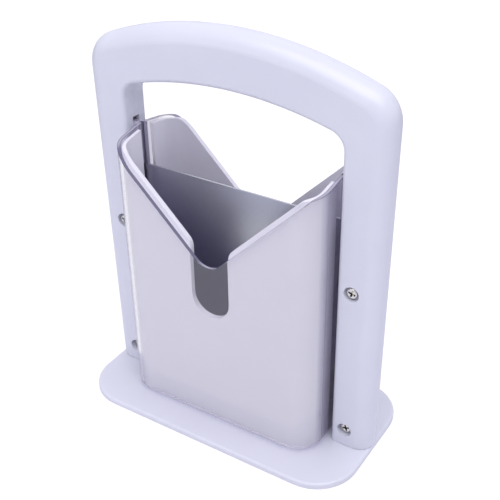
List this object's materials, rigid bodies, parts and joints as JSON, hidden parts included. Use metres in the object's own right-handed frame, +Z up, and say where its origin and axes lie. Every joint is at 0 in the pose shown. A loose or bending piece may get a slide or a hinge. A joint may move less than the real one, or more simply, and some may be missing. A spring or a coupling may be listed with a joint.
{
  "type": "bagel guillotine slicer",
  "caption": "White plastic bagel slicer: a blade and two clear shields in an arch handle slide straight down over a V-mouthed cradle on a flat base, and lift off.",
  "frame": {"origin": "middle of the underside of the pads, where the slicer stands on the counter", "axes": "+Z up, the way the handle lifts off; +X to the right across the arch; the front, with the screw heads, faces -Y; shown with the handle pressed fully down"},
  "size_m": [0.1824, 0.096, 0.235],
  "materials": {
    "white_plastic": "moulded ABS with a faint lavender cast, satin gloss",
    "clear_plastic": "clear moulded plastic, polished, violet at its cut edges",
    "coated_steel": "grey non-stick coating over ground sheet steel",
    "screw_steel": "plated steel, slightly dull",
    "pad_rubber": "matt soft rubber"
  },
  "bodies": {
    "base": {"base_plate": "white_plastic", "cradle_front": "white_plastic", "cradle_rear": "white_plastic", "cradle_screw_front_left": "screw_steel", "cradle_screw_front_right": "screw_steel", "cradle_screw_rear_left": "screw_steel", "cradle_screw_rear_right": "screw_steel", "foot_pad_front_left": "pad_rubber", "foot_pad_front_right": "pad_rubber", "foot_pad_rear_left": "pad_rubber", "foot_pad_rear_right": "pad_rubber"},
    "handle": {"handle_front": "white_plastic", "handle_rear": "white_plastic", "shield_front": "clear_plastic", "shield_rear": "clear_plastic", "blade": "coated_steel", "leg_screw_lower_left": "screw_steel", "leg_screw_lower_right": "screw_steel", "leg_screw_upper_left": "screw_steel", "leg_screw_upper_right": "screw_steel"}
  },
  "joints": [
    {"name": "handle_slide", "type": "slide", "parent": "base", "child": "handle", "axis": [0, 0, 1], "range_m": [0, 0.17]}
  ]
}
